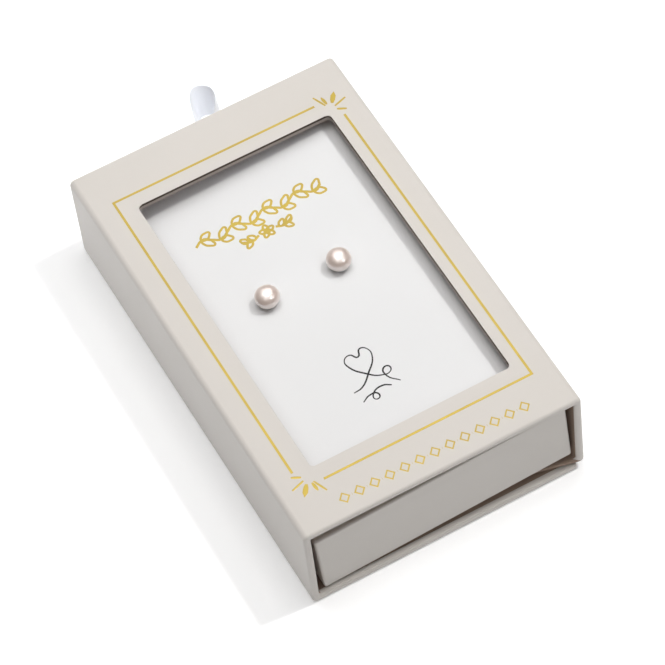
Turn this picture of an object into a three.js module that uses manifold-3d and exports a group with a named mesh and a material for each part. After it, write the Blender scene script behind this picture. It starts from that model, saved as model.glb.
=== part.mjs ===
// A pair of pearl stud earrings on a card in a slip-drawer gift box.
// Millimetres, +Z up. The origin is the middle of the box's underside, and -Y is the end
// where the drawer shows bare. The ribbon pull is at the +Y end.

import * as THREE from "three";
import { mergeVertices } from "three/addons/utils/BufferGeometryUtils.js";
import Module from "manifold-3d";

const wasm = await Module();
wasm.setup();

// Driving dimensions. The sleeve is a tube of paper-wrapped greyboard, open at both ends.
const SLEEVE_WIDTH = 70;
const SLEEVE_LENGTH = 115;
const SLEEVE_HEIGHT = 27;
const BOARD = 1.8;
const FOLD_RADIUS = 1.4;
const FLAP_TAPER_DEG = 14;

// The window in the sleeve's top, measured from the middle of that face.
const WINDOW_LEFT = -24.6;
const WINDOW_RIGHT = 26.0;
const WINDOW_FRONT = -41.9;
const WINDOW_BACK = 42.3;
const WINDOW_RADIUS = 1.6;

// The drawer. It rests on the flap inside the sleeve, so its right side stands higher.
const TRAY_WIDTH = 63.8;
const TRAY_LENGTH = 113;
const TRAY_HEIGHT = 19.3;
const TRAY_BOARD = 1.6;
const TRAY_RADIUS = 1.2;
const TRAY_TILT_DEG = 2.8;
const TRAY_LEFT_GAP = 1.9;
const TRAY_FRONT_RECESS = 1.1;

// Pieces that rest on each other keep this gap, and a cut runs this far past what it cuts.
const REST_GAP = 0.3;
const CUT_OVERRUN = 1;

// The card is folded down on its long sides and stands on the drawer's floor.
const CARD_THICKNESS = 0.6;
const CARD_TOP = 17.4;
const CARD_SIDE_GAP = 0.4;
const CARD_RADIUS = 0.9;

// The pearls. The flat under one takes PEARL_FLAT of the half turn from its foot to its top,
// and below the girth its side is made fuller by PEARL_FULLNESS, which is 1 on a plain oval.
const PEARL_DIAMETER = 6.0;
const PEARL_HEIGHT = 4.6;
const PEARL_FLAT = 0.16;
const PEARL_FULLNESS = 0.8;
const PEARL_SPACING = 18.7;
const PEARLS_OFF_CENTRE = [-0.4, 6.3];
const PEARL_SIDES = 36;
const PEARL_RINGS = 14;

// The posts and the clutches behind the card.
const PIN_RADIUS = 0.35;
const PIN_POINT = 0.5;
const PIN_BELOW_CARD = 10;
const CUP_RADIUS = 1.1;
const CUP_THICKNESS = 0.35;
const PEG_HEIGHT = 2.0;
const CLUTCH_RADIUS = 2.3;
const CLUTCH_HEIGHT = 2.8;
const TURNED_SIDES = 20;

// A clutch's outside from its lower face up, as shares of its radius and its height.
const CLUTCH_OUTSIDE = [
  { radius: 0.7, height: 0 },
  { radius: 0.75, height: 0.3 },
  { radius: 0.6, height: 0.5 },
  { radius: 1, height: 0.75 },
  { radius: 1, height: 1 },
];

// The ribbon pull, a loop of satin ribbon that stands on its edge behind the drawer. It leaves
// the slot straight over its neck, opens from its shoulder, and leans over within its bend.
const RIBBON_WIDTH = 10;
const RIBBON_THICKNESS = 1.0;
const RIBBON_REACH = 15.6;
const RIBBON_NECK = 1;
const RIBBON_SPREAD = 0.6;
const RIBBON_SHOULDER = 6;
const RIBBON_SWELL = 6;
const RIBBON_BEND = 5;
const RIBBON_LEAN_DEG = 20;
const RIBBON_TAIL = 9;
const RIBBON_STEPS = 14;
const SHARPEST_MITRE = 0.6;

// Vertices closer than this are one vertex.
const MERGE_DISTANCE = 1e-5;

const radians = THREE.MathUtils.degToRad;

// A paper, metal or pearl finish for one piece.
function finish(colour, roughness, metalness = 0) {
  return new THREE.MeshStandardMaterial({ color: colour, roughness, metalness });
}

const WRAP_PAPER = finish(0xe2ddd7, 0.62);
const CARD_STOCK = finish(0xf1f1f1, 0.55);
const PEARL_NACRE = finish(0xf3dfd3, 0.2);
const GOLD_PLATE = finish(0xd6a850, 0.25, 1);
const SATIN = finish(0xe4e8f2, 0.4);

// A manifold solid from a three.js geometry, with its shared vertices merged.
function solid(geometry) {
  const bare = new THREE.BufferGeometry();
  bare.setAttribute("position", geometry.getAttribute("position"));
  if (geometry.index) bare.setIndex(geometry.index);
  const merged = mergeVertices(bare, MERGE_DISTANCE);
  const index = merged.index.array;
  const kept = [];
  for (let i = 0; i < index.length; i += 3) {
    const [a, b, c] = [index[i], index[i + 1], index[i + 2]];
    if (a !== b && b !== c && c !== a) kept.push(a, b, c);
  }
  return new wasm.Manifold(new wasm.Mesh({
    numProp: 3,
    vertProperties: new Float32Array(merged.getAttribute("position").array),
    triVerts: new Uint32Array(kept),
  }));
}

// A named mesh from a manifold solid.
function piece(name, body, material) {
  const mesh = body.getMesh();
  const geometry = new THREE.BufferGeometry();
  geometry.setAttribute("position", new THREE.BufferAttribute(mesh.vertProperties, 3));
  geometry.setIndex(new THREE.BufferAttribute(mesh.triVerts, 1));
  geometry.computeVertexNormals();
  const made = new THREE.Mesh(geometry, material);
  made.name = name;
  return made;
}

// A shape drawn in X and Z, run along +Y from y = 0.
function runAlongY(shape, length) {
  const geometry = new THREE.ExtrudeGeometry(shape, {
    depth: length, bevelEnabled: false, curveSegments: 3,
  });
  geometry.rotateX(Math.PI / 2);
  geometry.translate(0, length, 0);
  return solid(geometry);
}

// A shape drawn in X and Y, raised along +Z from z = base.
function raise(shape, base, height) {
  const geometry = new THREE.ExtrudeGeometry(shape, {
    depth: height, bevelEnabled: false, curveSegments: 3,
  });
  geometry.translate(0, 0, base);
  return solid(geometry);
}

// A block between two corners.
function block(low, high) {
  const size = low.map((value, axis) => high[axis] - value);
  const geometry = new THREE.BoxGeometry(...size);
  geometry.translate(...low.map((value, axis) => value + size[axis] / 2));
  return solid(geometry);
}

// A turned piece from a profile of [radius, height] pairs, listed from the bottom to the top
// along its outside.
function turned(profile, sides) {
  const geometry = new THREE.LatheGeometry(profile.map(([r, z]) => new THREE.Vector2(r, z)), sides);
  geometry.rotateX(Math.PI / 2);
  return solid(geometry);
}

// A rectangle with four rounded corners.
function roundedRectangle(left, front, right, back, radius) {
  const shape = new THREE.Shape();
  shape.absarc(right - radius, front + radius, radius, -Math.PI / 2, 0, false);
  shape.absarc(right - radius, back - radius, radius, 0, Math.PI / 2, false);
  shape.absarc(left + radius, back - radius, radius, Math.PI / 2, Math.PI, false);
  shape.absarc(left + radius, front + radius, radius, Math.PI, 1.5 * Math.PI, false);
  shape.closePath();
  return shape;
}

// Sleeve: one strip of board folded into a tube. Its bottom panel hangs from the left wall
// and is glued under a flap that hangs from the right wall.
const sleeveLeft = -SLEEVE_WIDTH / 2;
const sleeveRight = SLEEVE_WIDTH / 2;
const trayLeft = sleeveLeft + BOARD + TRAY_LEFT_GAP;
const trayTilt = radians(TRAY_TILT_DEG);
const flapEdge = trayLeft + BOARD / Math.tan(trayTilt);

function sleeveSection() {
  const r = FOLD_RADIUS;
  const outside = new THREE.Shape();
  outside.absarc(sleeveLeft + r, r, r, 1.5 * Math.PI, Math.PI, true);
  outside.absarc(sleeveLeft + r, SLEEVE_HEIGHT - r, r, Math.PI, Math.PI / 2, true);
  outside.absarc(sleeveRight - r, SLEEVE_HEIGHT - r, r, Math.PI / 2, 0, true);
  outside.absarc(sleeveRight - r, BOARD + r, r, 0, -Math.PI / 2, true);
  outside.lineTo(sleeveRight - BOARD, BOARD);
  outside.lineTo(sleeveRight - BOARD, 0);
  outside.closePath();

  const inside = new THREE.Path();
  inside.moveTo(sleeveLeft + BOARD, BOARD);
  inside.lineTo(flapEdge, BOARD);
  inside.lineTo(flapEdge, 2 * BOARD);
  inside.lineTo(sleeveRight - BOARD, 2 * BOARD);
  inside.lineTo(sleeveRight - BOARD, SLEEVE_HEIGHT - BOARD);
  inside.lineTo(sleeveLeft + BOARD, SLEEVE_HEIGHT - BOARD);
  inside.closePath();
  outside.holes.push(inside);
  return outside;
}

// The wedge that is cut off one end of the flap, so that it tapers away from the right wall.
function flapWedge(end) {
  const start = sleeveRight - BOARD;
  const depth = (start - flapEdge) * Math.tan(radians(FLAP_TAPER_DEG));
  const outer = end * (SLEEVE_LENGTH / 2 + CUT_OVERRUN);
  const shape = new THREE.Shape();
  shape.moveTo(start, outer);
  shape.lineTo(start, end * SLEEVE_LENGTH / 2);
  shape.lineTo(flapEdge - CUT_OVERRUN, end * (SLEEVE_LENGTH / 2 - depth));
  shape.lineTo(flapEdge - CUT_OVERRUN, outer);
  shape.closePath();
  return raise(shape, BOARD, BOARD + CUT_OVERRUN);
}

function makeSleeve() {
  const tube = runAlongY(sleeveSection(), SLEEVE_LENGTH).translate([0, -SLEEVE_LENGTH / 2, 0]);
  const hole = roundedRectangle(WINDOW_LEFT, WINDOW_FRONT, WINDOW_RIGHT, WINDOW_BACK, WINDOW_RADIUS);
  const window = raise(hole, SLEEVE_HEIGHT - BOARD - CUT_OVERRUN, BOARD + 2 * CUT_OVERRUN);
  const cut = tube.subtract(window).subtract(flapWedge(-1)).subtract(flapWedge(1));
  return piece("sleeve", cut, WRAP_PAPER);
}

// Drawer, in its own frame: its left, front and lowest corner is the origin.
const trayMiddle = [TRAY_WIDTH / 2, TRAY_LENGTH / 2];
const ribbonBase = TRAY_HEIGHT / 2 - RIBBON_WIDTH / 2;

function makeTray() {
  const r = TRAY_RADIUS;
  const section = new THREE.Shape();
  section.absarc(TRAY_WIDTH - r, r, r, -Math.PI / 2, 0, false);
  section.lineTo(TRAY_WIDTH, TRAY_HEIGHT);
  section.lineTo(0, TRAY_HEIGHT);
  section.absarc(r, r, r, Math.PI, 1.5 * Math.PI, false);
  section.closePath();
  const wall = TRAY_BOARD;
  const inside = block(
    [wall, wall, wall],
    [TRAY_WIDTH - wall, TRAY_LENGTH - wall, TRAY_HEIGHT + CUT_OVERRUN],
  );
  const slotHalf = REST_GAP / 2 + RIBBON_THICKNESS + REST_GAP;
  const slot = block(
    [trayMiddle[0] - slotHalf, TRAY_LENGTH - wall - CUT_OVERRUN, ribbonBase - REST_GAP],
    [trayMiddle[0] + slotHalf, TRAY_LENGTH + CUT_OVERRUN, ribbonBase + RIBBON_WIDTH + REST_GAP],
  );
  return piece("tray", runAlongY(section, TRAY_LENGTH).subtract(inside).subtract(slot), WRAP_PAPER);
}

// Card, with a hole for each post.
const cardLeft = TRAY_BOARD + CARD_SIDE_GAP;
const cardRight = TRAY_WIDTH - TRAY_BOARD - CARD_SIDE_GAP;
const cardUnderside = CARD_TOP - CARD_THICKNESS;
const pearlPlaces = { left: -1, right: 1 };

// Where a stud's axis passes through the card, in the drawer's frame.
function studPlace(side) {
  return [
    trayMiddle[0] + PEARLS_OFF_CENTRE[0] + side * PEARL_SPACING / 2,
    trayMiddle[1] + PEARLS_OFF_CENTRE[1],
  ];
}

function makeCard() {
  const r = CARD_RADIUS;
  const t = CARD_THICKNESS;
  const foot = TRAY_BOARD + REST_GAP;
  const section = new THREE.Shape();
  section.moveTo(cardRight - t, foot);
  section.lineTo(cardRight, foot);
  section.absarc(cardRight - r, CARD_TOP - r, r, 0, Math.PI / 2, false);
  section.absarc(cardLeft + r, CARD_TOP - r, r, Math.PI / 2, Math.PI, false);
  section.lineTo(cardLeft, foot);
  section.lineTo(cardLeft + t, foot);
  section.absarc(cardLeft + r, CARD_TOP - r, r - t, Math.PI, Math.PI / 2, true);
  section.absarc(cardRight - r, CARD_TOP - r, r - t, Math.PI / 2, 0, true);
  section.closePath();
  const length = TRAY_LENGTH - 2 * (TRAY_BOARD + CARD_SIDE_GAP);
  let card = runAlongY(section, length).translate([0, TRAY_BOARD + CARD_SIDE_GAP, 0]);
  const hole = PIN_RADIUS + REST_GAP;
  const low = cardUnderside - CUT_OVERRUN;
  const high = CARD_TOP + CUT_OVERRUN;
  for (const side of Object.values(pearlPlaces)) {
    const drill = turned([[0, low], [hole, low], [hole, high], [0, high]], TURNED_SIDES);
    card = card.subtract(drill.translate([...studPlace(side), 0]));
  }
  return piece("card", card, CARD_STOCK);
}

// Button pearl, flattened below, half drilled from underneath with a seat for the cup.
// Its heights are measured from the card's face.
function makePearl(name, side) {
  const radius = PEARL_DIAMETER / 2;
  const half = PEARL_HEIGHT / 2;
  const middle = REST_GAP + half;
  const seatRadius = CUP_RADIUS + REST_GAP;
  const seatTop = REST_GAP + CUP_THICKNESS + REST_GAP;
  const drillRadius = PIN_RADIUS + REST_GAP;
  const drillTop = REST_GAP + CUP_THICKNESS + PEG_HEIGHT + REST_GAP;
  const profile = [[0, drillTop], [drillRadius, drillTop], [drillRadius, seatTop],
    [seatRadius, seatTop], [seatRadius, REST_GAP]];
  for (let ring = 1; ring <= PEARL_RINGS; ring += 1) {
    const share = PEARL_FLAT + (1 - PEARL_FLAT) * ring / PEARL_RINGS;
    const turn = Math.PI * (share - 0.5);
    const fullness = turn < 0 ? PEARL_FULLNESS : 1;
    const width = ring === PEARL_RINGS ? 0 : radius * Math.cos(turn) ** fullness;
    profile.push([width, middle + half * Math.sin(turn)]);
  }
  const body = turned(profile, PEARL_SIDES).translate([...studPlace(side), CARD_TOP]);
  return piece(name, body, PEARL_NACRE);
}

// Post: a pin with a small cup under the pearl and a peg up into it, turned as one piece.
function makePost(name, side) {
  const tip = -CARD_THICKNESS - PIN_BELOW_CARD;
  const cupTop = REST_GAP + CUP_THICKNESS;
  const profile = [[0, tip], [PIN_RADIUS / 2, tip], [PIN_RADIUS, tip + PIN_POINT],
    [PIN_RADIUS, REST_GAP], [CUP_RADIUS, REST_GAP], [CUP_RADIUS, cupTop],
    [PIN_RADIUS, cupTop], [PIN_RADIUS, cupTop + PEG_HEIGHT], [0, cupTop + PEG_HEIGHT]];
  const body = turned(profile, TURNED_SIDES).translate([...studPlace(side), CARD_TOP]);
  return piece(name, body, GOLD_PLATE);
}

// Clutch: a plain waisted ring on the post, close behind the card.
function makeClutch(name, side) {
  const top = -REST_GAP;
  const low = top - CLUTCH_HEIGHT;
  const bore = PIN_RADIUS + REST_GAP;
  const outside = CLUTCH_OUTSIDE.map(
    ({ radius, height }) => [CLUTCH_RADIUS * radius, low + CLUTCH_HEIGHT * height],
  );
  const profile = [[bore, top], [bore, low], ...outside, [bore, top]];
  const body = turned(profile, TURNED_SIDES).translate([...studPlace(side), cardUnderside]);
  return piece(name, body, GOLD_PLATE);
}

// Ribbon pull. Both ends pass through the slot in the drawer's back and turn apart along its
// inner face. Outside, the ribbon makes one drop-shaped loop.
function ribbonLine() {
  const lean = radians(RIBBON_LEAN_DEG);
  const start = (RIBBON_THICKNESS + REST_GAP) / 2;
  const back = TRAY_LENGTH;
  const inner = TRAY_LENGTH - TRAY_BOARD - REST_GAP - RIBBON_THICKNESS / 2;
  const farEnd = RIBBON_REACH - RIBBON_THICKNESS / 2;
  const half = new THREE.CubicBezierCurve(
    new THREE.Vector2(start, RIBBON_NECK),
    new THREE.Vector2(start + RIBBON_SPREAD, RIBBON_SHOULDER),
    new THREE.Vector2(RIBBON_SWELL, farEnd),
    new THREE.Vector2(0, farEnd),
  ).getPoints(RIBBON_STEPS);
  const leant = (point, side) => {
    const x = side * point.x;
    const bend = lean * Math.min(1, point.y / RIBBON_BEND);
    return new THREE.Vector2(
      trayMiddle[0] + x * Math.cos(bend) + point.y * Math.sin(bend),
      back + point.y * Math.cos(bend) - x * Math.sin(bend),
    );
  };
  const right = half.map((point) => leant(point, 1));
  const left = half.map((point) => leant(point, -1)).reverse().slice(1);
  return [
    new THREE.Vector2(trayMiddle[0] + RIBBON_TAIL, inner),
    new THREE.Vector2(trayMiddle[0] + start, inner),
    ...right,
    ...left,
    new THREE.Vector2(trayMiddle[0] - start, inner),
    new THREE.Vector2(trayMiddle[0] - RIBBON_TAIL, inner),
  ];
}

// The line's two faces, half the ribbon's thickness to each side, joined into one outline.
function ribbonOutline(line) {
  const sides = [1, -1].map((sign) => line.map((point, i) => {
    const before = line[Math.max(i - 1, 0)];
    const after = line[Math.min(i + 1, line.length - 1)];
    const arriving = point.clone().sub(before).normalize();
    const leaving = after.clone().sub(point).normalize();
    const along = arriving.clone().add(leaving).normalize();
    const across = new THREE.Vector2(-along.y, along.x);
    const slant = Math.max(along.dot(arriving), along.dot(leaving));
    const halfThickness = RIBBON_THICKNESS / 2 / Math.max(SHARPEST_MITRE, slant);
    return point.clone().addScaledVector(across, sign * halfThickness);
  }));
  return new THREE.Shape([...sides[0], ...sides[1].reverse()]);
}

function makeRibbon() {
  return piece("ribbon_pull", raise(ribbonOutline(ribbonLine()), ribbonBase, RIBBON_WIDTH), SATIN);
}

const drawer = new THREE.Group();
drawer.position.set(trayLeft, -SLEEVE_LENGTH / 2 + TRAY_FRONT_RECESS, BOARD + REST_GAP);
drawer.rotation.y = -trayTilt;
drawer.add(makeTray(), makeCard(), makeRibbon());
for (const [side, sign] of Object.entries(pearlPlaces)) {
  drawer.add(
    makePearl(`pearl_${side}`, sign),
    makePost(`post_${side}`, sign),
    makeClutch(`clutch_${side}`, sign),
  );
}

const earringBox = new THREE.Group();
earringBox.add(makeSleeve(), drawer);
export default earringBox;
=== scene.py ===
# A pair of pearl stud earrings on a white card, in a cream gift box. The card lies in a drawer
# that slides in a sleeve with a window, and a loop of satin ribbon pulls the drawer out.
import math

import bmesh
import bpy
from mathutils import Matrix, Vector, noise


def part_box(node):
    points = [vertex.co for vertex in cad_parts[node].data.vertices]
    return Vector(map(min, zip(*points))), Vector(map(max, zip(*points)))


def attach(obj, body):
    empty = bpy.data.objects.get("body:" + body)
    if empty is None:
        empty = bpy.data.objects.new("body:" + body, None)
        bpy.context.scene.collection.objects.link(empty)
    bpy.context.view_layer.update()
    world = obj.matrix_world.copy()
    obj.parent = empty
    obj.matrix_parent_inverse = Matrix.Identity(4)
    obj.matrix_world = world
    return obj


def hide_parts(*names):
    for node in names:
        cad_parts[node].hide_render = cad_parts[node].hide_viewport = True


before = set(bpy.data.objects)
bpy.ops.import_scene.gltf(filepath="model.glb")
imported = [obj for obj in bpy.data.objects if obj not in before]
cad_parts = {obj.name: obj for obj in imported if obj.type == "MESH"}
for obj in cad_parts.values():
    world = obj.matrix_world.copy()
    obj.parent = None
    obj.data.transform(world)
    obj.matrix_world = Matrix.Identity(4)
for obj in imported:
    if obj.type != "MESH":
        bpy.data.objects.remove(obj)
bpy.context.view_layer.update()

# Camera: a long lens over the box's left front corner, held a little askew.
# The picture is 665 pixels wide and as high.
mm = 0.001
camera_azimuth = math.radians(-22.18)
camera_elevation = math.radians(54.67)
camera_roll = math.radians(-7.99)
camera_distance = 873.28 * mm
camera_aim = Vector((-3.31, -12.75, 27.0)) * mm
camera_lens = 210.69
camera_sensor = 36.0

bpy.ops.object.camera_add()
camera = bpy.context.object
camera.name = "camera"
camera.data.lens = camera_lens
camera.data.sensor_width = camera_sensor
camera.data.clip_start = 10 * mm
camera_turn = (
    Matrix.Rotation(camera_azimuth, 4, "Z")
    @ Matrix.Rotation(math.pi / 2 - camera_elevation, 4, "X")
    @ Matrix.Rotation(camera_roll, 4, "Z")
)
camera_place = camera_aim + camera_turn @ Vector((0, 0, camera_distance))
camera.matrix_world = Matrix.Translation(camera_place) @ camera_turn
bpy.context.scene.camera = camera

# Studio: a white floor that glows faintly. A small soft box at the right draws the shadows and two
# broad ones overhead fill them. A narrow one lights the window's back part, and a low one the left
# wall's far end. A panel behind shows only as the gleam on pearls and foil.
floor_size = 4.0
warm = (1.0, 0.985, 0.965)
cool = (0.92, 0.95, 1.0)
studio_lights = {
    "key_light": {
        "place": (0.62, -0.1, 1.3), "aim": (0, 0, 0), "size": 0.08, "power": 6.7, "colour": warm
    },
    "top_light": {
        "place": (0, 0.08, 1.0), "aim": (0, 0, 0), "size": 0.5, "power": 2.5, "colour": warm
    },
    "wide_light": {
        "place": (0.05, 0, 0.6), "aim": (0.05, 0, 0), "size": 0.9, "power": 2.9, "colour": warm
    },
    "front_light": {
        "place": (0.2, -0.4, 0.5),
        "aim": (0, 0.05, 0.02),
        "size": 0.1,
        "power": 0.0065,
        "colour": cool,
    },
    "low_light": {
        "place": (-0.12, 0.35, 0.02),
        "aim": (-0.035, 0.05, 0.013),
        "size": 0.035,
        "power": 0.7,
        "colour": cool,
    },
    "gleam_panel": {
        "place": (0.1, 0.32, 0.5), "aim": (0, 0, 0), "size": 0.62, "power": 1.6, "colour": warm
    },
}
front_spread = math.radians(16)
only_gleams = ("gleam_panel",)
never_gleams = ("key_light", "low_light")
floor_white = (0.96, 0.97, 0.985, 1)
floor_glow = 0.17
room_front = -0.8
room_back = 1.0
room_low = (0.80, 0.76, 0.72, 1)
room_high = (1.0, 1.0, 1.0, 1)
room_strength = 0.05
bpy.context.scene.view_settings.view_transform = "Standard"


def shader_of(material):
    """A material's Principled shader."""
    return material.node_tree.nodes["Principled BSDF"]


def new_material(name, roughness):
    """A new material with a Principled shader of this roughness."""
    material = bpy.data.materials.new(name)
    material.use_nodes = True
    shader_of(material).inputs["Roughness"].default_value = roughness
    return material


bpy.ops.mesh.primitive_plane_add(size=floor_size, location=(0, 0, 0))
floor = bpy.context.object
floor.name = "floor"
floor_paint = new_material("floor_paint", 0.8)
shader = shader_of(floor_paint)
shader.inputs["Base Color"].default_value = floor_white
shader.inputs["Specular IOR Level"].default_value = 0.1
shader.inputs["Emission Color"].default_value = (1, 1, 1, 1)
shader.inputs["Emission Strength"].default_value = floor_glow
floor.data.materials.append(floor_paint)

for name, lamp in studio_lights.items():
    bpy.ops.object.light_add(type="AREA", location=lamp["place"])
    light = bpy.context.object
    light.name = name
    way = Vector(lamp["aim"]) - Vector(lamp["place"])
    light.rotation_euler = way.to_track_quat("-Z", "Y").to_euler()
    light.data.name = name
    light.data.size = lamp["size"]
    light.data.energy = lamp["power"]
    light.data.color = lamp["colour"]
    light.visible_diffuse = name not in only_gleams
    light.visible_glossy = name not in never_gleams
bpy.data.lights["front_light"].spread = front_spread

room = bpy.data.worlds.new("room")
room.use_nodes = True
bpy.context.scene.world = room
nodes = room.node_tree.nodes
links = room.node_tree.links
room_view = nodes.new("ShaderNodeTexCoord")
room_axes = nodes.new("ShaderNodeSeparateXYZ")
room_blend = nodes.new("ShaderNodeMapRange")
room_blend.inputs["From Min"].default_value = room_front
room_blend.inputs["From Max"].default_value = room_back
room_mix = nodes.new("ShaderNodeMix")
room_mix.data_type = "RGBA"
room_mix.inputs["A"].default_value = room_low
room_mix.inputs["B"].default_value = room_high
links.new(room_view.outputs["Generated"], room_axes.inputs["Vector"])
links.new(room_axes.outputs["Y"], room_blend.inputs["Value"])
links.new(room_blend.outputs["Result"], room_mix.inputs["Factor"])
links.new(room_mix.outputs["Result"], nodes["Background"].inputs["Color"])
nodes["Background"].inputs["Strength"].default_value = room_strength

# Sleeve: one strip of greyboard, wrapped in cream paper and folded into a tube. Its bottom
# panel hangs from the left wall and is glued under a flap that hangs from the right wall.
# The window was cut after wrapping; its bare edge is painted near black along the top as painted
# shade.
sleeve_low, sleeve_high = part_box("sleeve")
sleeve_size = sleeve_high - sleeve_low
hair = 0.05 * mm
speck = 0.0005 * mm
board = 1.8 * mm
glue_line = 0.06 * mm
fold_radius = 1.4 * mm
fold_steps = 6
flap_edge = 5.5 * mm
flap_taper = 6.9 * mm
window_left = -24.6 * mm
window_right = 26.0 * mm
window_front = -41.9 * mm
window_back = 42.3 * mm
window_radius = 1.1 * mm
cut_softness = 0.18 * mm
# Height of the near-black band at the top of the window's cut edge, which is painted shade.
cut_shade_band = 0.7 * mm
turn_in = 1.6 * mm
wrap_softness = 0.7 * mm
wrap_steps = 4
edge_angle = math.radians(60)
smooth_angle = math.radians(32)
steep = 0.5
cut_steep = 0.35
level = 0.9


def select_only(piece):
    """Selects one piece alone and makes it the active one."""
    bpy.ops.object.select_all(action="DESELECT")
    piece.select_set(True)
    bpy.context.view_layer.objects.active = piece


def open_edit(piece, kind):
    """Opens one piece for editing by faces, edges or vertices, with nothing selected."""
    select_only(piece)
    bpy.ops.object.mode_set(mode="EDIT")
    bpy.ops.mesh.select_mode(type=kind)
    bpy.ops.mesh.select_all(action="DESELECT")


def close_edit():
    bpy.ops.object.mode_set(mode="OBJECT")


def pick(piece, kind, test):
    """Selects, in edit mode, only the faces, edges or vertices that pass the test."""
    bpy.ops.mesh.select_mode(type=kind)
    bpy.ops.mesh.select_all(action="DESELECT")
    sketch = bmesh.from_edit_mesh(piece.data)
    sketch.normal_update()
    group = {"VERT": sketch.verts, "EDGE": sketch.edges, "FACE": sketch.faces}[kind]
    for element in group:
        if test(element):
            element.select_set(True)
    bmesh.update_edit_mesh(piece.data)


def middle(edge):
    return (edge.verts[0].co + edge.verts[1].co) / 2


def runs_along(edge, axis):
    """Whether an edge is parallel to an axis of the box: 0, 1 or 2."""
    step = edge.verts[1].co - edge.verts[0].co
    return abs(abs(step[axis]) - step.length) < speck


def apply_modifier(piece, kind, **settings):
    """Adds a modifier with these settings and applies it."""
    select_only(piece)
    modifier = piece.modifiers.new("finish", kind)
    for name, value in settings.items():
        setattr(modifier, name, value)
    bpy.ops.object.modifier_apply(modifier=modifier.name)


def settle(piece):
    """Moves a piece's place and size into its mesh, so that its object sits at the origin."""
    select_only(piece)
    bpy.ops.object.transform_apply(location=True, rotation=True, scale=True)


def smooth(piece):
    """Smooth shading over the rounded edges, with the flat faces kept flat."""
    select_only(piece)
    bpy.ops.object.shade_smooth_by_angle(angle=smooth_angle)
    apply_modifier(piece, "WEIGHTED_NORMAL", keep_sharp=True)


bpy.ops.object.select_all(action="DESELECT")
bpy.ops.mesh.primitive_plane_add(size=1, location=(0, 0, sleeve_high.z))
sleeve_board = bpy.context.object
sleeve_board.name = "sleeve_board"
sleeve_board.scale = (sleeve_size.x, sleeve_size.y, 1)
settle(sleeve_board)

open_edit(sleeve_board, "EDGE")
pick(sleeve_board, "EDGE", lambda e: middle(e).x < sleeve_low.x + hair)
for step in ((0, 0, -sleeve_size.z), (sleeve_size.x - board, 0, 0)):
    bpy.ops.mesh.extrude_region_move(TRANSFORM_OT_translate={"value": step})
pick(sleeve_board, "EDGE", lambda e: middle(e).x > sleeve_high.x - hair)
flap_base = sleeve_low.z + board + glue_line
for step in ((0, 0, flap_base - sleeve_high.z), (flap_edge - sleeve_high.x, 0, 0)):
    bpy.ops.mesh.extrude_region_move(TRANSFORM_OT_translate={"value": step})
for end in (-1, 1):
    pick(
        sleeve_board,
        "VERT",
        lambda v: abs(v.co.x - flap_edge) < hair
        and v.co.y * end > 0
        and v.co.z < sleeve_high.z / 2,
    )
    bpy.ops.transform.translate(value=(0, -end * flap_taper, 0))
for plane, across in (
    (window_left, (1, 0, 0)),
    (window_right, (1, 0, 0)),
    (window_front, (0, 1, 0)),
    (window_back, (0, 1, 0)),
):
    pick(sleeve_board, "FACE", lambda f: f.calc_center_median().z > sleeve_high.z - hair)
    bpy.ops.mesh.bisect(plane_co=Vector(across) * plane, plane_no=across)
pick(
    sleeve_board,
    "FACE",
    lambda f: f.calc_center_median().z > sleeve_high.z - hair
    and window_left < f.calc_center_median().x < window_right
    and window_front < f.calc_center_median().y < window_back,
)
bpy.ops.mesh.delete(type="FACE")
close_edit()
apply_modifier(sleeve_board, "SOLIDIFY", thickness=board, offset=-1, use_even_offset=True)

open_edit(sleeve_board, "FACE")
bottom_panel = sleeve_low.z + board
for end in (sleeve_low.y + turn_in, sleeve_high.y - turn_in):
    pick(sleeve_board, "FACE", lambda f: abs(f.calc_center_median().z - bottom_panel) < hair)
    bpy.ops.mesh.bisect(plane_co=(0, end, 0), plane_no=(0, 1, 0))
folds = [
    (sleeve_low.x, sleeve_low.z),
    (sleeve_low.x, sleeve_high.z),
    (sleeve_high.x, sleeve_high.z),
    (sleeve_high.x, flap_base),
]
pick(
    sleeve_board,
    "EDGE",
    lambda e: runs_along(e, 1)
    and any((Vector((middle(e).x, middle(e).z)) - Vector(f)).length < hair for f in folds),
)
bpy.ops.mesh.bevel(offset=fold_radius, segments=fold_steps, affect="EDGES", clamp_overlap=False)
pick(
    sleeve_board,
    "EDGE",
    lambda e: runs_along(e, 2)
    and min(abs(middle(e).x - window_left), abs(middle(e).x - window_right)) < hair
    and min(abs(middle(e).y - window_front), abs(middle(e).y - window_back)) < hair,
)
bpy.ops.mesh.bevel(offset=window_radius, segments=fold_steps, affect="EDGES", clamp_overlap=False)


def on_window_edge(face):
    """Whether a face belongs to the cut edge round the window."""
    place = face.calc_center_median()
    return (
        abs(face.normal.z) < steep
        and window_left - hair < place.x < window_right + hair
        and window_front - hair < place.y < window_back + hair
        and place.z > sleeve_high.z - board
    )


pick(sleeve_board, "FACE", on_window_edge)
bpy.ops.mesh.region_to_loop()
bpy.ops.mesh.bevel(offset=cut_softness, segments=2, affect="EDGES", clamp_overlap=False)
close_edit()
apply_modifier(
    sleeve_board,
    "BEVEL",
    width=wrap_softness,
    segments=wrap_steps,
    limit_method="ANGLE",
    angle_limit=edge_angle,
)

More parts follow.
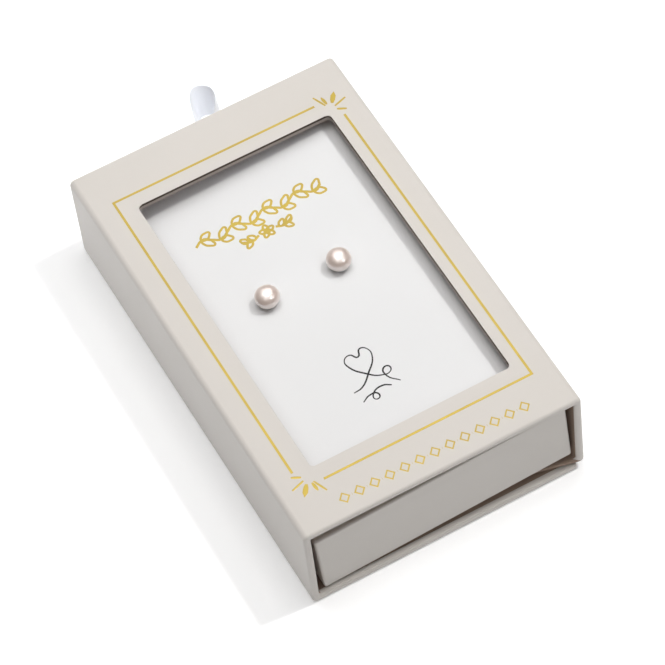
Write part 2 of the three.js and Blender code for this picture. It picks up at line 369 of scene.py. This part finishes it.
fibre = bpy.data.node_groups.new("paper_fibre", "ShaderNodeTree")
fibre.interface.new_socket("Vector", in_out="INPUT", socket_type="NodeSocketVector")
fibre.interface.new_socket("Cloud Scale", in_out="INPUT", socket_type="NodeSocketFloat")
fibre.interface.new_socket("Fibre Scale", in_out="INPUT", socket_type="NodeSocketFloat")
fibre.interface.new_socket("Cloud", in_out="OUTPUT", socket_type="NodeSocketFloat")
fibre.interface.new_socket("Height", in_out="OUTPUT", socket_type="NodeSocketFloat")
fibre_in = fibre.nodes.new("NodeGroupInput")
fibre_out = fibre.nodes.new("NodeGroupOutput")
cloud = fibre.nodes.new("ShaderNodeTexNoise")
cloud.inputs["Detail"].default_value = 3
grain = fibre.nodes.new("ShaderNodeTexNoise")
grain.inputs["Detail"].default_value = 4
grain.inputs["Roughness"].default_value = 0.65
fibre.links.new(fibre_in.outputs["Vector"], cloud.inputs["Vector"])
fibre.links.new(fibre_in.outputs["Vector"], grain.inputs["Vector"])
fibre.links.new(fibre_in.outputs["Cloud Scale"], cloud.inputs["Scale"])
fibre.links.new(fibre_in.outputs["Fibre Scale"], grain.inputs["Scale"])
fibre.links.new(cloud.outputs["Fac"], fibre_out.inputs["Cloud"])
fibre.links.new(grain.outputs["Fac"], fibre_out.inputs["Height"])


def grained_material(
    name, deep, pale, cloud_scale, fibre_scale, roughness, specular=0.5, gloss=None, relief=None
):
    """Two close tones in soft clouds, with a fine grain in the gloss and in the relief."""
    material = new_material(name, roughness)
    shader = shader_of(material)
    nodes = material.node_tree.nodes
    links = material.node_tree.links
    place = nodes.new("ShaderNodeTexCoord")
    grained = nodes.new("ShaderNodeGroup")
    grained.node_tree = fibre
    grained.inputs["Cloud Scale"].default_value = cloud_scale
    grained.inputs["Fibre Scale"].default_value = fibre_scale
    tones = nodes.new("ShaderNodeMix")
    tones.data_type = "RGBA"
    tones.inputs["A"].default_value = (*deep, 1)
    tones.inputs["B"].default_value = (*pale, 1)
    links.new(place.outputs["Object"], grained.inputs["Vector"])
    links.new(grained.outputs["Cloud"], tones.inputs["Factor"])
    links.new(tones.outputs["Result"], shader.inputs["Base Color"])
    shader.inputs["Specular IOR Level"].default_value = specular
    if gloss:
        shine = nodes.new("ShaderNodeMapRange")
        shine.inputs["To Min"].default_value = gloss[0]
        shine.inputs["To Max"].default_value = gloss[1]
        links.new(grained.outputs["Height"], shine.inputs["Value"])
        links.new(shine.outputs["Result"], shader.inputs["Roughness"])
    if relief:
        bump = nodes.new("ShaderNodeBump")
        bump.inputs["Strength"].default_value = relief[0]
        bump.inputs["Distance"].default_value = relief[1]
        links.new(grained.outputs["Height"], bump.inputs["Height"])
        links.new(bump.outputs["Normal"], shader.inputs["Normal"])
    return material


paper_relief = 0.03 * mm
wrap_paper = grained_material(
    "wrap_paper",
    deep=(0.605, 0.575, 0.54),
    pale=(0.63, 0.60, 0.57),
    cloud_scale=55,
    fibre_scale=2600,
    roughness=0.58,
    specular=0.35,
    relief=(0.25, paper_relief),
)
bare_board = grained_material(
    "bare_board",
    deep=(0.28, 0.205, 0.16),
    pale=(0.36, 0.27, 0.215),
    cloud_scale=240,
    fibre_scale=1500,
    roughness=0.85,
    specular=0.2,
    relief=(0.6, paper_relief),
)
# The window's cut edge: near black over its upper part as painted shade, blending by height into a
# grey-beige band below.
cut_board_painted_shade = grained_material(
    "cut_board_painted_shade",
    deep=(0.055, 0.037, 0.03),
    pale=(0.095, 0.066, 0.052),
    cloud_scale=900,
    fibre_scale=2400,
    roughness=0.85,
    specular=0.15,
    relief=(0.7, paper_relief),
)
nodes = cut_board_painted_shade.node_tree.nodes
links = cut_board_painted_shade.node_tree.links
cut_lower_layer = (0.42, 0.37, 0.34, 1)
cut_axes = nodes.new("ShaderNodeSeparateXYZ")
cut_depth = nodes.new("ShaderNodeMapRange")
cut_depth.inputs["From Min"].default_value = sleeve_high.z - cut_shade_band - glue_line
cut_depth.inputs["From Max"].default_value = sleeve_high.z - cut_shade_band + glue_line
cut_layers = nodes.new("ShaderNodeMix")
cut_layers.data_type = "RGBA"
cut_layers.inputs["A"].default_value = cut_lower_layer
links.new(nodes["Texture Coordinate"].outputs["Object"], cut_axes.inputs["Vector"])
links.new(cut_axes.outputs["Z"], cut_depth.inputs["Value"])
links.new(cut_depth.outputs["Result"], cut_layers.inputs["Factor"])
links.new(nodes["Mix"].outputs["Result"], cut_layers.inputs["B"])
links.new(cut_layers.outputs["Result"], shader_of(cut_board_painted_shade).inputs["Base Color"])
sleeve_board.data.materials.append(wrap_paper)
sleeve_board.data.materials.append(bare_board)
sleeve_board.data.materials.append(cut_board_painted_shade)
inner_left = sleeve_low.x + board - hair
inner_right = sleeve_high.x - board + hair
inner_top = sleeve_high.z - board + hair
end_turn = sleeve_high.y - wrap_softness - hair
for face in sleeve_board.data.polygons:
    place = face.center
    inside = inner_left < place.x < inner_right and board - hair < place.z < inner_top
    turned_in = place.z < board + hair and abs(place.y) > sleeve_high.y - turn_in
    in_window = (
        window_left - hair < place.x < window_right + hair
        and window_front - hair < place.y < window_back + hair
        and place.z > sleeve_high.z - board + hair
    )
    # Faces of the window's cut edge get the edge material with its painted shade.
    if in_window and abs(face.normal.z) < cut_steep:
        face.material_index = 2
    elif inside and abs(place.y) < end_turn and not turned_in:
        face.material_index = 1
smooth(sleeve_board)
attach(sleeve_board, "root")
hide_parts("sleeve")

# Gold frame: hot foil pressed into the sleeve's paper, one thin line round the window. It is
# left open at two opposite corners, where a fan of five rays stands in its place.
foil_rise = 0.03 * mm
foil_sink = 0.02 * mm
foil_softness = 0.018 * mm
frame_line = 0.6 * mm
frame_left = -28.94 * mm
frame_right = 29.0 * mm
frame_front = -46.0 * mm
frame_back = 46.13 * mm
frame_ends = {
    "gold_frame_left": (frame_left, frame_back, 24.08 * mm, -41.14 * mm),
    "gold_frame_right": (frame_right, frame_front, -23.7 * mm, 40.42 * mm),
}

gold_foil = grained_material(
    "gold_foil",
    deep=(0.37, 0.265, 0.035),
    pale=(0.51, 0.375, 0.05),
    cloud_scale=160,
    fibre_scale=3200,
    roughness=0.36,
    gloss=(0.28, 0.44),
    relief=(0.15, 0.01 * mm),
)
shader_of(gold_foil).inputs["Metallic"].default_value = 0.35
for name, (corner_x, corner_y, end_x, end_y) in frame_ends.items():
    bpy.ops.object.select_all(action="DESELECT")
    bpy.ops.mesh.primitive_plane_add(
        size=frame_line, location=(corner_x, corner_y, sleeve_high.z - foil_sink)
    )
    strip = bpy.context.object
    strip.name = name
    settle(strip)
    open_edit(strip, "EDGE")
    for axis, corner, end in ((0, corner_x, end_x), (1, corner_y, end_y)):
        way = 1 if end > corner else -1
        pick(
            strip,
            "EDGE",
            lambda e: abs(middle(e)[axis] - corner - way * frame_line / 2) < hair
            and abs(middle(e)[1 - axis] - (corner_y, corner_x)[axis]) < hair,
        )
        step = [0, 0, 0]
        step[axis] = end - corner - way * frame_line / 2
        bpy.ops.mesh.extrude_region_move(TRANSFORM_OT_translate={"value": step})
    close_edit()
    apply_modifier(strip, "SOLIDIFY", thickness=foil_rise + foil_sink, offset=1)
    apply_modifier(strip, "BEVEL", width=foil_softness, segments=2, limit_method="ANGLE")
    strip.data.materials.append(gold_foil)
    smooth(strip)
    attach(strip, "root")

# Ray fans: five pressed foil rays, four thin ones and a broad pointed leaf in the middle. The
# fan in the front corner is the back one turned half round.
fan_centre = Vector((27.1, 43.4, 0)) * mm
front_fan_centre = Vector((-26.6, -43.75, 0)) * mm
swell_places = (0, 0.3, 0.65, 1)

# Angles in degrees, lengths in millimetres. A ray's swell is the share of its width that it has
# at each of the four swell places.
fan_rays = (
    {"angle": 112, "start": 1.73, "length": 3.87, "width": 0.5, "swell": (0.8, 1, 1, 0.8)},
    {"angle": 95.7, "start": 1.78, "length": 2.53, "width": 0.8, "swell": (0.5, 0.9, 1, 0.35)},
    {"angle": 55, "start": 1.80, "length": 3.44, "width": 1.25, "swell": (0.5, 0.95, 1, 0.08)},
    {"angle": 17.4, "start": 1.27, "length": 3.47, "width": 0.5, "swell": (0.9, 1, 1, 0.8)},
    {"angle": -28.8, "start": 1.34, "length": 2.33, "width": 0.62, "swell": (0.7, 1, 1, 0.7)},
)


def stroke(name, points, width, swell=None, closed=False, corners=False, bends=5):
    """A line of foil or ink through points on a flat surface, half of it under the surface."""
    bpy.ops.object.select_all(action="DESELECT")
    bpy.ops.curve.primitive_bezier_curve_add()
    line = bpy.context.object
    line.name = name
    spline = line.data.splines[0]
    spline.bezier_points.add(len(points) - len(spline.bezier_points))
    for index, knot in enumerate(spline.bezier_points):
        knot.co = (points[index][0], points[index][1], 0)
        knot.handle_left_type = "VECTOR" if corners else "AUTO"
        knot.handle_right_type = knot.handle_left_type
        knot.radius = swell[index % len(swell)] if swell else 1
    spline.use_cyclic_u = closed
    line.data.resolution_u = bends
    line.data.bevel_depth = width / 2
    line.data.bevel_resolution = 2
    line.data.use_fill_caps = not closed
    select_only(line)
    bpy.ops.object.convert(target="MESH")
    line = bpy.context.object
    line.scale = (1, 1, 2 * foil_rise / width)
    settle(line)
    return line


def turned(x, y, angle):
    """A point turned about the origin, in degrees."""
    return Matrix.Rotation(math.radians(angle), 2) @ Vector((x, y))


def join(name, parts):
    """Joins like parts into one piece."""
    bpy.ops.object.select_all(action="DESELECT")
    for part in parts:
        part.select_set(True)
    bpy.context.view_layer.objects.active = parts[0]
    bpy.ops.object.join()
    parts[0].name = name
    parts[0].data.name = name
    return parts[0]


def shift(piece, way):
    """Moves a finished part, with its place kept in its mesh."""
    piece.location = way
    settle(piece)


def copy_of(piece, name):
    """A copy with its own mesh."""
    select_only(piece)
    bpy.ops.object.duplicate()
    copy = bpy.context.object
    copy.name = name
    copy.data.name = name
    return copy


def finish_print(piece, finish):
    piece.data.materials.clear()
    piece.data.materials.append(finish)
    select_only(piece)
    bpy.ops.object.shade_smooth_by_angle(angle=smooth_angle)
    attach(piece, "root")


rays = []
for ray in fan_rays:
    line = [
        turned(ray["start"] + ray["length"] * share, 0, ray["angle"]) * mm
        for share in swell_places
    ]
    rays.append(stroke("ray", line, ray["width"] * mm, swell=ray["swell"]))
back_fan = join("gold_fan_back", rays)
front_fan = copy_of(back_fan, "gold_fan_front")
front_fan.rotation_euler = (0, 0, math.pi)
settle(front_fan)
shift(back_fan, fan_centre + Vector((0, 0, sleeve_high.z)))
shift(front_fan, front_fan_centre + Vector((0, 0, sleeve_high.z)))
finish_print(back_fan, gold_foil)
finish_print(front_fan, gold_foil)

# Front margin: a row of pressed foil lozenges with a dot between each two, along the end where
# the drawer shows.
margin_middle = Vector((0.5, -52.7, 0)) * mm
lozenge_count = 13
lozenge_pitch = 3.78 * mm
lozenge_width = 1.15 * mm
lozenge_height = 1.3 * mm
lozenge_line = 0.5 * mm
dot_size = 0.62 * mm
dot_half = 0.031 * mm

margin_parts = []
first_lozenge = stroke(
    "lozenge",
    [(lozenge_width, 0), (0, lozenge_height), (-lozenge_width, 0), (0, -lozenge_height)],
    lozenge_line,
    closed=True,
    corners=True,
    bends=2,
)
first_dot = stroke("dot", [(-dot_half, 0), (dot_half, 0)], dot_size, bends=1)
for place in range(lozenge_count):
    across = (place - (lozenge_count - 1) / 2) * lozenge_pitch
    lozenge = copy_of(first_lozenge, "lozenge")
    shift(lozenge, (across, 0, 0))
    margin_parts.append(lozenge)
    if place < lozenge_count - 1:
        dot = copy_of(first_dot, "dot")
        shift(dot, (across + lozenge_pitch / 2, 0, 0))
        margin_parts.append(dot)
bpy.data.objects.remove(first_lozenge)
bpy.data.objects.remove(first_dot)
margin_row = join("gold_margin_row", margin_parts)
shift(margin_row, margin_middle + Vector((0, 0, sleeve_high.z)))
finish_print(margin_row, gold_foil)

# Drawer: a tray of thinner greyboard in the same cream paper, with a slot in its back wall for
# the ribbon. It rests on the flap inside the sleeve, so its right side stands higher.
tray_low, tray_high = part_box("tray")
tray_tilt = math.radians(2.8)
tray_size = Vector((63.8, 113.0, 19.3)) * mm
tray_board = 1.6 * mm
tray_softness = 0.65 * mm
tray_corner = Vector((
    tray_low.x + tray_size.z * math.sin(tray_tilt),
    tray_low.y,
    tray_high.z - tray_size.x * math.sin(tray_tilt) - tray_size.z * math.cos(tray_tilt),
))
ribbon_width = 10 * mm
slot_width = 2.9 * mm
slot_height = ribbon_width + 0.6 * mm


def lay_in_drawer(piece):
    """Puts a piece that was made square on, from the drawer's lowest corner, where it lies."""
    piece.location = tray_corner
    piece.rotation_euler = (0, -tray_tilt, 0)
    settle(piece)


bpy.ops.object.select_all(action="DESELECT")
bpy.ops.mesh.primitive_cube_add(size=1, location=tray_size / 2)
drawer = bpy.context.object
drawer.name = "drawer"
drawer.scale = tray_size
settle(drawer)
open_edit(drawer, "FACE")
pick(drawer, "FACE", lambda f: f.normal.z > level)
bpy.ops.mesh.inset(thickness=tray_board)
bpy.ops.mesh.extrude_region_move(
    TRANSFORM_OT_translate={"value": (0, 0, tray_board - tray_size.z)}
)
close_edit()
bpy.ops.object.select_all(action="DESELECT")
bpy.ops.mesh.primitive_cube_add(
    size=1, location=(tray_size.x / 2, tray_size.y, tray_size.z / 2)
)
slot_cutter = bpy.context.object
slot_cutter.scale = (slot_width, 4 * tray_board, slot_height)
settle(slot_cutter)
apply_modifier(drawer, "BOOLEAN", object=slot_cutter, operation="DIFFERENCE", solver="EXACT")
bpy.data.objects.remove(slot_cutter)
apply_modifier(
    drawer,
    "BEVEL",
    width=tray_softness,
    segments=wrap_steps,
    limit_method="ANGLE",
    angle_limit=edge_angle,
)
drawer.data.materials.append(wrap_paper)
lay_in_drawer(drawer)
smooth(drawer)
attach(drawer, "root")
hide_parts("tray")

# Card: smooth white card folded down on its long sides, standing in the drawer. Two holes are
# pierced for the posts.
card_thickness = 0.6 * mm
card_top = 17.4 * mm
card_gap = 0.4 * mm
card_fold = 0.9 * mm
card_fold_steps = 5
card_foot = tray_board + 0.3 * mm
card_left = tray_board + card_gap
card_right = tray_size.x - tray_board - card_gap
card_front = tray_board + card_gap
card_back = tray_size.y - tray_board - card_gap
card_middle = Vector((tray_size.x / 2, tray_size.y / 2, card_top))
pearl_spacing = 18.7 * mm
pearls_off_middle = Vector((-0.4, 6.3, 0)) * mm
pierced_radius = 0.45 * mm
pierced_sides = 16

bpy.ops.object.select_all(action="DESELECT")
bpy.ops.mesh.primitive_plane_add(
    size=1, location=((card_left + card_right) / 2, (card_front + card_back) / 2, card_top)
)
card_sheet = bpy.context.object
card_sheet.name = "card_sheet"
card_sheet.scale = (card_right - card_left, card_back - card_front, 1)
settle(card_sheet)
open_edit(card_sheet, "EDGE")
pick(
    card_sheet,
    "EDGE",
    lambda e: middle(e).x < card_left + hair or middle(e).x > card_right - hair,
)
bpy.ops.mesh.extrude_region_move(
    TRANSFORM_OT_translate={"value": (0, 0, card_foot - card_top)}
)
pick(
    card_sheet,
    "EDGE",
    lambda e: runs_along(e, 1) and middle(e).z > card_top - hair,
)
bpy.ops.mesh.bevel(offset=card_fold, segments=card_fold_steps, affect="EDGES", clamp_overlap=False)
close_edit()
apply_modifier(card_sheet, "SOLIDIFY", thickness=card_thickness, offset=-1, use_even_offset=True)
for side in (-1, 1):
    bpy.ops.object.select_all(action="DESELECT")
    bpy.ops.mesh.primitive_cylinder_add(
        vertices=pierced_sides,
        radius=pierced_radius,
        depth=4 * card_thickness,
        location=card_middle + pearls_off_middle + Vector((side * pearl_spacing / 2, 0, 0)),
    )
    piercer = bpy.context.object
    settle(piercer)
    apply_modifier(card_sheet, "BOOLEAN", object=piercer, operation="DIFFERENCE", solver="EXACT")
    bpy.data.objects.remove(piercer)
card_stock = grained_material(
    "card_stock",
    deep=(0.70, 0.705, 0.715),
    pale=(0.72, 0.725, 0.735),
    cloud_scale=40,
    fibre_scale=3800,
    roughness=0.46,
    specular=0.3,
    relief=(0.08, paper_relief),
)
card_sheet.data.materials.append(card_stock)
lay_in_drawer(card_sheet)
smooth(card_sheet)
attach(card_sheet, "root")
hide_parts("card")

# Card stamping: a leafy garland pressed in gold foil across the card's back part, with a
# shorter sprig and its flower under it.
stem_line = 0.66 * mm
garland_height = 29.2 * mm
garland_left = -16.6 * mm
garland_right = 16.2 * mm
garland_waves = 4
garland_swing = 1.1 * mm
leaf_line = 0.9 * stem_line
leaf_outline = ((0, 0), (0.35, 1), (0.75, 0.75), (1, 0), (0.75, -0.75), (0.35, -1))
leaf_length = 3.4 * mm
leaf_half_width = 0.85 * mm
leaf_lean = 52
small_leaf_length = 2.72 * mm
small_leaf_lean = 26
sprig_place = Vector((-0.5, 24.2, 0)) * mm
sprig_stem = ((2.2, 0), (4.2, -0.7), (6.6, 0.3))
sprig_leaf_roots = ((3.2, 48), (4.4, -42), (5.2, 50))
sprig_leaf_drop = -0.5 * mm
sprig_leaf_length = 2.1 * mm
sprig_leaf_half_width = 0.6 * mm
petal_count = 5
petal_length = 1.85 * mm
petal_half_width = 0.62 * mm


def leaf(x, y, angle, length=leaf_length, half_width=leaf_half_width):
    """An outlined leaf that grows from a point at an angle in degrees."""
    outline = [
        Vector((x, y)) + turned(length * along, half_width * across, angle)
        for along, across in leaf_outline
    ]
    return stroke("leaf", outline, leaf_line, closed=True)


def garland_line(x):
    share = (x - garland_left) / (garland_right - garland_left)
    return garland_swing * math.sin(2 * math.pi * garland_waves * share)


garland_steps = 4 * garland_waves
garland_points = []
garland_parts = []
for step in range(garland_steps + 1):
    x = garland_left + (garland_right - garland_left) * step / garland_steps
    garland_points.append((x, garland_line(x)))
    if step % 2 == 1:
        up = 1 if step % 4 == 1 else -1
        garland_parts.append(leaf(x, garland_line(x), -up * leaf_lean))
        garland_parts.append(leaf(x, garland_line(x), up * small_leaf_lean, small_leaf_length))
garland_parts.append(stroke("stem", garland_points, stem_line))
garland = join("gold_garland", garland_parts)
shift(garland, card_middle + Vector((0, garland_height, 0)))
lay_in_drawer(garland)
finish_print(garland, gold_foil)

sprig_parts = []
for side in (-1, 1):
    stem = [(side * x * mm, y * mm) for x, y in sprig_stem]
    sprig_parts.append(stroke("stem", stem, stem_line))
    for root, angle in sprig_leaf_roots:
        turn = angle if side > 0 else 180 - angle
        sprig_parts.append(
            leaf(side * root * mm, sprig_leaf_drop, turn, sprig_leaf_length, sprig_leaf_half_width)
        )
for petal in range(petal_count):
    turn = 90 + 360 * petal / petal_count
    sprig_parts.append(leaf(0, 0, turn, petal_length, petal_half_width))
sprig = join("gold_sprig", sprig_parts)
shift(sprig, card_middle + sprig_place)
lay_in_drawer(sprig)
finish_print(sprig, gold_foil)

# Card printing: a small heart drawn in black ink as one pen line with a looped tail, and a
# curl under it. The line swells and thins along its way, as a pen's does.
ink_line = 0.36 * mm
pen_pressure = (0.75, 1.1, 1.2, 0.95)

# The pen's path, in millimetres from the card's middle.
heart_points = (
    (-5.2, -25.9), (-3.0, -25.6), (0.2, -22.9), (2.9, -19.8), (3.1, -17.2), (1.6, -16.1),
    (0.2, -17.9), (-1.2, -16.4), (-2.9, -17.1), (-2.8, -19.4), (-0.6, -22.6), (2.2, -25.0),
    (4.6, -25.2), (4.9, -23.8), (3.5, -23.7), (3.3, -26.0), (5.3, -28.6),
)
curl_points = (
    (-4.6, -29.2), (-2.6, -28.3), (-0.8, -28.7), (-0.9, -30.0), (-2.0, -29.8), (-1.4, -28.2),
    (1.2, -27.6), (3.0, -28.6),
)

ink = grained_material(
    "black_ink",
    deep=(0.004, 0.004, 0.005),
    pale=(0.016, 0.015, 0.016),
    cloud_scale=900,
    fibre_scale=4200,
    roughness=0.42,
    specular=0.3,
)
pen_parts = [
    stroke("pen", [(x * mm, y * mm) for x, y in line], ink_line, swell=pen_pressure)
    for line in (heart_points, curl_points)
]
pen_heart = join("ink_heart", pen_parts)
shift(pen_heart, card_middle)
lay_in_drawer(pen_heart)
finish_print(pen_heart, ink)

# Pearls: two freshwater button pearls, domed above, flatter below and never quite round. Each
# is half drilled, and its cup and peg are glued into the recess under it.
pearl_radius = 3.0 * mm
pearl_half_height = 2.3 * mm
pearl_gap = 0.3 * mm
pearl_foot = -1.98 * mm
pearl_foot_slack = 0.1 * hair
pearl_columns = 72
pearl_rows = 40
pearl_under = 0.8
seat_radius = 1.4 * mm
seat_depth = 0.7 * mm
drill_radius = 0.65 * mm
drill_depth = 2.0 * mm
pearl_waves = 330
pearl_unevenness = 0.09 * mm
pearl_inset = 0.0315 * mm
pearl_ripple_waves = 1100
pearl_ripple = 0.005 * mm
pearl_sides = {"pearl_left": (-1, (3.1, 0.4, 7.7)), "pearl_right": (1, (8.3, 5.2, 1.9))}

nacre = grained_material(
    "nacre",
    deep=(0.62, 0.46, 0.385),
    pale=(0.86, 0.75, 0.69),
    cloud_scale=420,
    fibre_scale=1900,
    roughness=0.24,
    specular=1.0,
    gloss=(0.24, 0.36),
    relief=(0.05, 0.02 * mm),
)
shader = shader_of(nacre)
shader.inputs["IOR"].default_value = 2.2
shader.inputs["Coat Weight"].default_value = 1.0
shader.inputs["Coat Roughness"].default_value = 0.28
shader.inputs["Coat IOR"].default_value = 2.0
shader.inputs["Sheen Weight"].default_value = 0.9
shader.inputs["Sheen Roughness"].default_value = 0.4
shader.inputs["Sheen Tint"].default_value = (1, 0.93, 0.9, 1)

for name, (side, seed) in pearl_sides.items():
    bpy.ops.object.select_all(action="DESELECT")
    bpy.ops.mesh.primitive_uv_sphere_add(
        segments=pearl_columns, ring_count=pearl_rows, radius=pearl_radius
    )
    pearl = bpy.context.object
    pearl.name = name + "_nacre"
    pearl.scale = (1, 1, pearl_half_height / pearl_radius)
    settle(pearl)
    for point in pearl.data.vertices:
        across = Vector((point.co.x, point.co.y)).length
        if point.co.z < 0 and across > hair:
            fuller = pearl_radius * (across / pearl_radius) ** pearl_under / across
            point.co.x *= fuller
            point.co.y *= fuller
        outward = point.co.normalized()
        swell = noise.noise(point.co * pearl_waves + Vector(seed)) * pearl_unevenness
        swell += noise.noise(point.co * pearl_ripple_waves + Vector(seed)) * pearl_ripple
        point.co += outward * (swell - pearl_inset)
    open_edit(pearl, "FACE")
    bpy.ops.mesh.select_all(action="SELECT")
    bpy.ops.mesh.bisect(
        plane_co=(0, 0, pearl_foot), plane_no=(0, 0, 1), use_fill=True, clear_inner=True
    )
    close_edit()
    foot_radius = max(
        Vector((point.co.x, point.co.y)).length
        for point in pearl.data.vertices
        if point.co.z < pearl_foot + pearl_foot_slack
    )
    open_edit(pearl, "FACE")
    pick(pearl, "FACE", lambda f: f.calc_center_median().z < pearl_foot + pearl_foot_slack)
    bpy.ops.mesh.inset(thickness=foot_radius - seat_radius)
    bpy.ops.mesh.extrude_region_move(TRANSFORM_OT_translate={"value": (0, 0, seat_depth)})
    bpy.ops.mesh.inset(thickness=seat_radius - drill_radius)
    bpy.ops.mesh.extrude_region_move(TRANSFORM_OT_translate={"value": (0, 0, drill_depth)})
    close_edit()
    pearl.data.materials.append(nacre)
    stud_place = pearls_off_middle + Vector((side * pearl_spacing / 2, 0, 0))
    shift(pearl, card_middle + stud_place + Vector((0, 0, pearl_gap + pearl_half_height)))
    lay_in_drawer(pearl)
    select_only(pearl)
    bpy.ops.object.shade_smooth_by_angle(angle=smooth_angle)
    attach(pearl, "root")
    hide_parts(name)

# Posts and clutches: turned brass, gold plated and polished, hidden under the pearls and behind
# the card. Their solids are right as they are and only get the plate's finish.
plate = grained_material(
    "gold_plate",
    deep=(0.70, 0.46, 0.15),
    pale=(0.83, 0.60, 0.25),
    cloud_scale=500,
    fibre_scale=5200,
    roughness=0.2,
    gloss=(0.12, 0.28),
)
shader_of(plate).inputs["Metallic"].default_value = 1
for name in ("post_left", "post_right", "clutch_left", "clutch_right"):
    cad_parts[name].data.materials.clear()
    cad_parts[name].data.materials.append(plate)

# Ribbon pull: 10 mm white satin ribbon on its edge behind the drawer. Both ends pass through
# the slot, turn apart inside and are glued flat to the wall; outside it makes one loop.
ribbon_thickness = 0.3 * mm
ribbon_reach = 15.1 * mm
ribbon_start = 0.65 * mm
ribbon_neck = 1.0 * mm
ribbon_spread = 0.6 * mm
ribbon_shoulder = 6.0 * mm
ribbon_swell = 6.0 * mm
ribbon_bend = 5.0 * mm
ribbon_lean = math.radians(25.5)
ribbon_lift = 2.5 * mm
ribbon_lift_curve = 1.5
ribbon_tilt = 1.8 * mm
ribbon_tail = 9.0 * mm
ribbon_inner = tray_size.y - tray_board - 0.2 * mm
ribbon_turn = 0.5 * mm
ribbon_steps = 18
ribbon_rows = 12
loop_root = Vector((tray_size.x / 2, tray_size.y))


def loop_point(share, side):
    """A point on one half of the ribbon's loop, a cubic curve from the slot to its far end."""
    near = 1 - share
    x = near**3 * ribbon_start + 3 * near**2 * share * (ribbon_start + ribbon_spread)
    x += 3 * near * share**2 * ribbon_swell
    y = near**3 * ribbon_neck + 3 * near**2 * share * ribbon_shoulder
    y += (3 * near * share**2 + share**3) * ribbon_reach
    lean = ribbon_lean * min(1, y / ribbon_bend)
    return loop_root + Vector((
        side * x * math.cos(lean) + y * math.sin(lean),
        y * math.cos(lean) - side * x * math.sin(lean),
    ))


def tail_points(side):
    """One tail of the ribbon, from its glued end inside the wall to the slot."""
    places = (
        (ribbon_tail, 0),
        (ribbon_tail / 2, 0),
        (ribbon_start * 1.5, 0),
        (ribbon_start, ribbon_turn),
    )
    return [Vector((loop_root.x + side * x, ribbon_inner + y)) for x, y in places]


right_half = [loop_point(step / ribbon_steps, 1) for step in range(ribbon_steps + 1)]
left_half = [loop_point(step / ribbon_steps, -1) for step in range(ribbon_steps)]
ribbon_route = [
    *tail_points(1),
    *right_half,
    *reversed(left_half),
    *reversed(tail_points(-1)),
]
bpy.ops.object.select_all(action="DESELECT")
bpy.ops.mesh.primitive_grid_add(
    x_subdivisions=len(ribbon_route) - 1, y_subdivisions=ribbon_rows, size=1
)
ribbon = bpy.context.object
ribbon.name = "satin_ribbon"
ribbon_run = [0.0]
for before, after in zip(ribbon_route, ribbon_route[1:]):
    ribbon_run.append(ribbon_run[-1] + (after - before).length)
weave = ribbon.data.uv_layers.active
for loop in ribbon.data.loops:
    point = ribbon.data.vertices[loop.vertex_index].co
    column = round((point.x + 0.5) * (len(ribbon_route) - 1))
    weave.data[loop.index].uv = (ribbon_run[column] / ribbon_width, point.y + 0.5)
for point in ribbon.data.vertices:
    column = round((point.co.x + 0.5) * (len(ribbon_route) - 1))
    height = point.co.y
    place = ribbon_route[column]
    out = max(0, place.y - tray_size.y) / ribbon_reach
    point.co = (
        place.x,
        place.y + height * ribbon_tilt * out,
        tray_size.z / 2 + height * ribbon_width + ribbon_lift * out**ribbon_lift_curve,
    )
open_edit(ribbon, "FACE")
bpy.ops.mesh.select_all(action="SELECT")
bpy.ops.mesh.normals_make_consistent(inside=False)
close_edit()
apply_modifier(ribbon, "SOLIDIFY", thickness=ribbon_thickness, offset=0)
apply_modifier(ribbon, "SUBSURF", levels=1, render_levels=1)

satin = new_material("satin_ribbon", 0.34)
shader = shader_of(satin)
nodes = satin.node_tree.nodes
links = satin.node_tree.links
satin_run = nodes.new("ShaderNodeUVMap")
satin_run.uv_map = weave.name
satin_stretch = nodes.new("ShaderNodeMapping")
satin_stretch.inputs["Scale"].default_value = (2.0, 60, 1)
satin_threads = nodes.new("ShaderNodeTexNoise")
satin_threads.inputs["Scale"].default_value = 1
satin_threads.inputs["Detail"].default_value = 3
satin_tones = nodes.new("ShaderNodeMix")
satin_tones.data_type = "RGBA"
satin_tones.inputs["A"].default_value = (0.80, 0.83, 0.90, 1)
satin_tones.inputs["B"].default_value = (0.86, 0.88, 0.94, 1)
satin_bump = nodes.new("ShaderNodeBump")
satin_bump.inputs["Strength"].default_value = 0.3
satin_bump.inputs["Distance"].default_value = 0.03 * mm
links.new(satin_run.outputs["UV"], satin_stretch.inputs["Vector"])
links.new(satin_stretch.outputs["Vector"], satin_threads.inputs["Vector"])
links.new(satin_threads.outputs["Fac"], satin_tones.inputs["Factor"])
links.new(satin_threads.outputs["Fac"], satin_bump.inputs["Height"])
links.new(satin_tones.outputs["Result"], shader.inputs["Base Color"])
links.new(satin_bump.outputs["Normal"], shader.inputs["Normal"])
shader.inputs["Sheen Weight"].default_value = 0.4
shader.inputs["Sheen Roughness"].default_value = 0.3
shader.inputs["Anisotropic"].default_value = 0.5
shader.inputs["Subsurface Weight"].default_value = 0.6
shader.inputs["Subsurface Radius"].default_value = (1, 1, 1)
shader.inputs["Subsurface Scale"].default_value = 1.5 * mm
ribbon.data.materials.append(satin)
lay_in_drawer(ribbon)
smooth(ribbon)
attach(ribbon, "root")
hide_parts("ribbon_pull")
